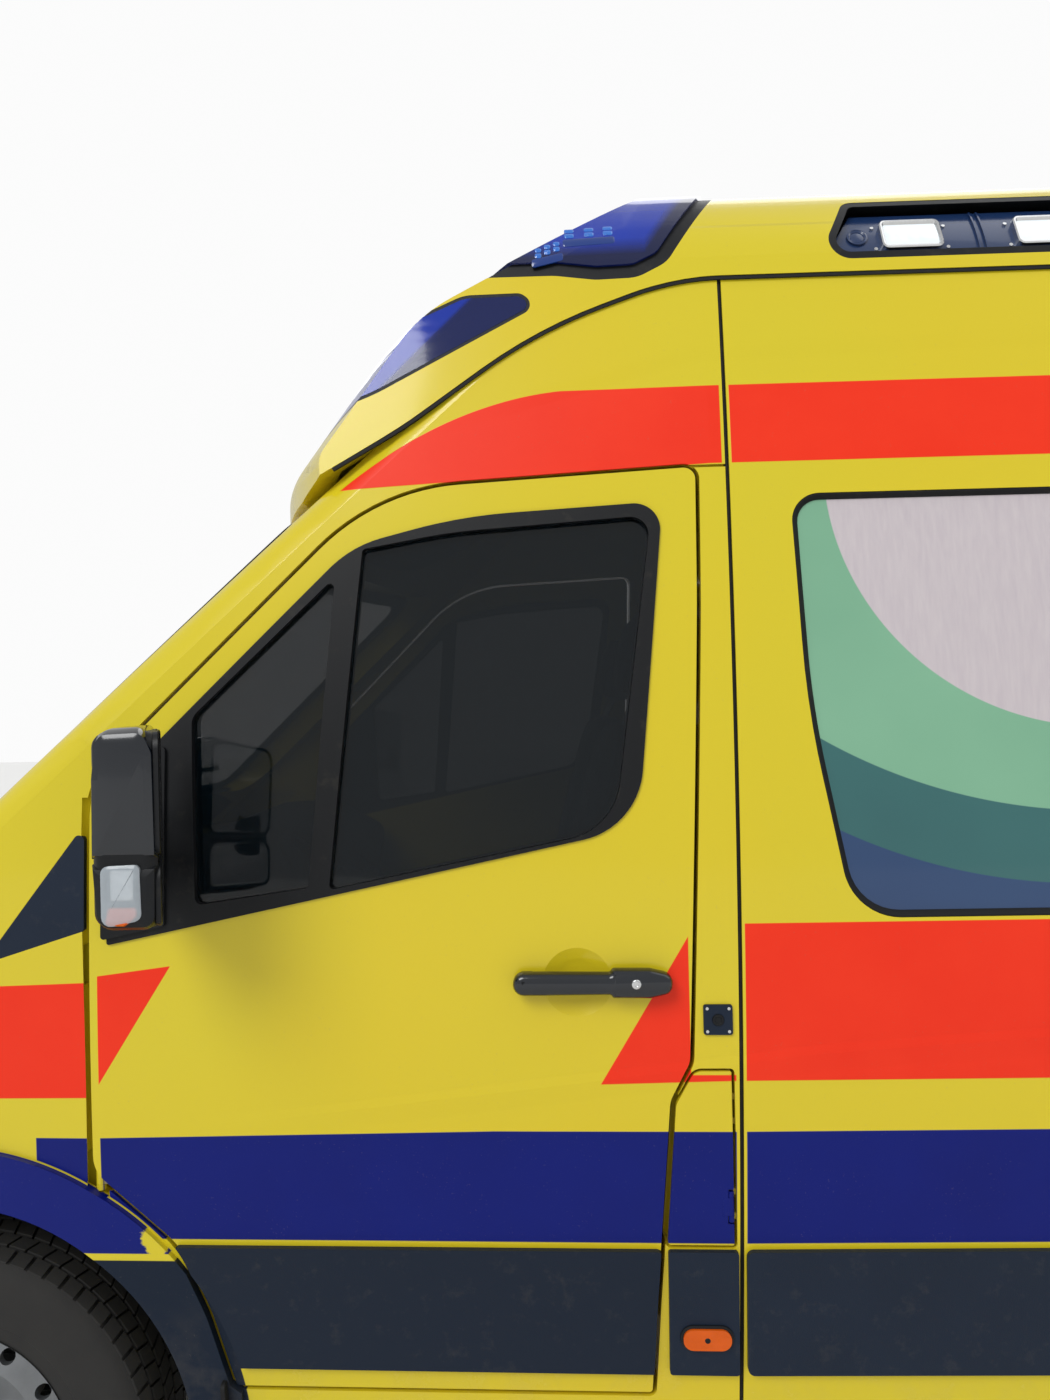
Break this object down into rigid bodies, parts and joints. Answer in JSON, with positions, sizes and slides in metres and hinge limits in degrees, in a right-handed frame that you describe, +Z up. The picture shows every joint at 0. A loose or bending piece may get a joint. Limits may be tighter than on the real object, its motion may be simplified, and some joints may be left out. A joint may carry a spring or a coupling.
{
  "type": "ambulance",
  "caption": "High-roof van ambulance with hinged cab and rear doors, lifting bonnet, fuel flap, steered front wheels and turning rear wheels.",
  "frame": {"origin": "on the ground below the middle of the whole van", "axes": "+Z up, the van faces -X, its left side is at -Y"},
  "size_m": [5.91, 2.426, 2.698],
  "materials": {
    "body_paint": "gloss",
    "cap_paint": "gloss",
    "tinted_glass": "gloss",
    "film_glass": "gloss",
    "black_trim": "satin",
    "dark_plastic": "satin",
    "grey_plastic": "satin",
    "step_metal": "satin",
    "red_lens": "gloss",
    "blue_lens": "gloss",
    "amber_lens": "gloss",
    "clear_lens": "gloss",
    "floor_metal": "satin",
    "dark_metal": "satin",
    "cast_metal": "matte",
    "exhaust_metal": "matte",
    "seat_cloth": "matte",
    "cabin_lining": "satin",
    "tyre_rubber": "matte",
    "wheel_steel": "satin"
  },
  "bodies": {
    "body": {"cab_frame": "body_paint", "fenders": "body_paint", "side_panel_left": "body_paint", "side_panel_right": "body_paint", "sliding_door": "body_paint", "cabin_windows": "film_glass", "rear_frame": "body_paint", "rear_step": "step_metal", "tail_lamps": "red_lens", "front_bumper": "grey_plastic", "grille": "black_trim", "headlamps": "clear_lens", "windscreen": "tinted_glass", "roof_cap": "cap_paint", "lamp_frames": "black_trim", "beacons": "blue_lens", "strip_lamps": "clear_lens", "body_mouldings": "dark_plastic", "marker_lamps": "amber_lens", "floor_pan": "floor_metal", "chassis_rails": "dark_metal", "rear_axle": "dark_metal", "front_subframe": "dark_metal", "engine_block": "cast_metal", "radiator": "dark_metal", "fuel_tank": "grey_plastic", "exhaust": "exhaust_metal", "dashboard": "dark_plastic", "cab_seats": "seat_cloth", "bulkhead": "cabin_lining", "cabinets": "cabin_lining"},
    "front_door_left": {"front_door_left": "body_paint", "front_door_glass_left": "tinted_glass", "front_door_trim_left": "black_trim"},
    "rear_door_left": {"rear_door_left": "body_paint", "rear_door_glass_left": "film_glass"},
    "knuckle_left": {"front_knuckle_left": "cast_metal"},
    "wheel_front_left": {"tyre_front_left": "tyre_rubber", "rim_front_left": "wheel_steel"},
    "wheel_rear_left": {"tyre_rear_left": "tyre_rubber", "rim_rear_left": "wheel_steel"},
    "front_door_right": {"front_door_right": "body_paint", "front_door_glass_right": "tinted_glass", "front_door_trim_right": "black_trim"},
    "rear_door_right": {"rear_door_right": "body_paint", "rear_door_glass_right": "film_glass"},
    "knuckle_right": {"front_knuckle_right": "cast_metal"},
    "wheel_front_right": {"tyre_front_right": "tyre_rubber", "rim_front_right": "wheel_steel"},
    "wheel_rear_right": {"tyre_rear_right": "tyre_rubber", "rim_rear_right": "wheel_steel"},
    "bonnet": {"bonnet": "body_paint"},
    "fuel_flap": {"fuel_flap": "body_paint"}
  },
  "joints": [
    {"name": "front_door_left_hinge", "type": "hinge", "parent": "body", "child": "front_door_left", "pos_m": [-1.6884, -0.9386, 1], "axis": [0, 0, -1], "range_deg": [0, 70]},
    {"name": "rear_door_left_hinge", "type": "hinge", "parent": "body", "child": "rear_door_left", "pos_m": [2.938, -0.882, 1.4], "axis": [0, 0, -1], "range_deg": [0, 180]},
    {"name": "steer_left", "type": "hinge", "parent": "body", "child": "knuckle_left", "pos_m": [-1.951, -0.742, 0.345], "axis": [0, 0.2079, 0.9781], "range_deg": [-36, 36]},
    {"name": "wheel_front_left_spin", "type": "hinge", "parent": "knuckle_left", "child": "wheel_front_left", "pos_m": [-1.951, -0.855, 0.345], "axis": [0, 1, 0], "continuous": true},
    {"name": "wheel_rear_left_spin", "type": "hinge", "parent": "body", "child": "wheel_rear_left", "pos_m": [1.714, -0.855, 0.345], "axis": [0, 1, 0], "continuous": true},
    {"name": "front_door_right_hinge", "type": "hinge", "parent": "body", "child": "front_door_right", "pos_m": [-1.6884, 0.9386, 1], "axis": [0, 0, 1], "range_deg": [0, 70]},
    {"name": "rear_door_right_hinge", "type": "hinge", "parent": "body", "child": "rear_door_right", "pos_m": [2.938, 0.882, 1.4], "axis": [0, 0, 1], "range_deg": [0, 180]},
    {"name": "steer_right", "type": "hinge", "parent": "body", "child": "knuckle_right", "pos_m": [-1.951, 0.742, 0.345], "axis": [0, -0.2079, 0.9781], "range_deg": [-36, 36]},
    {"name": "wheel_front_right_spin", "type": "hinge", "parent": "knuckle_right", "child": "wheel_front_right", "pos_m": [-1.951, 0.855, 0.345], "axis": [0, 1, 0], "continuous": true},
    {"name": "wheel_rear_right_spin", "type": "hinge", "parent": "body", "child": "wheel_rear_right", "pos_m": [1.714, 0.855, 0.345], "axis": [0, 1, 0], "continuous": true},
    {"name": "fuel_flap_hinge", "type": "hinge", "parent": "body", "child": "fuel_flap", "pos_m": [-0.60528, -0.97735, 0.85], "axis": [0, 0, 1], "range_deg": [0, 90]},
    {"name": "bonnet_hinge", "type": "hinge", "parent": "body", "child": "bonnet", "pos_m": [-2.1104, 0, 1.2529], "axis": [0, 1, 0], "range_deg": [0, 55]}
  ],
  "couplings": [
    {"joint": "steer_right", "follows": "steer_left", "ratio": 1}
  ]
}
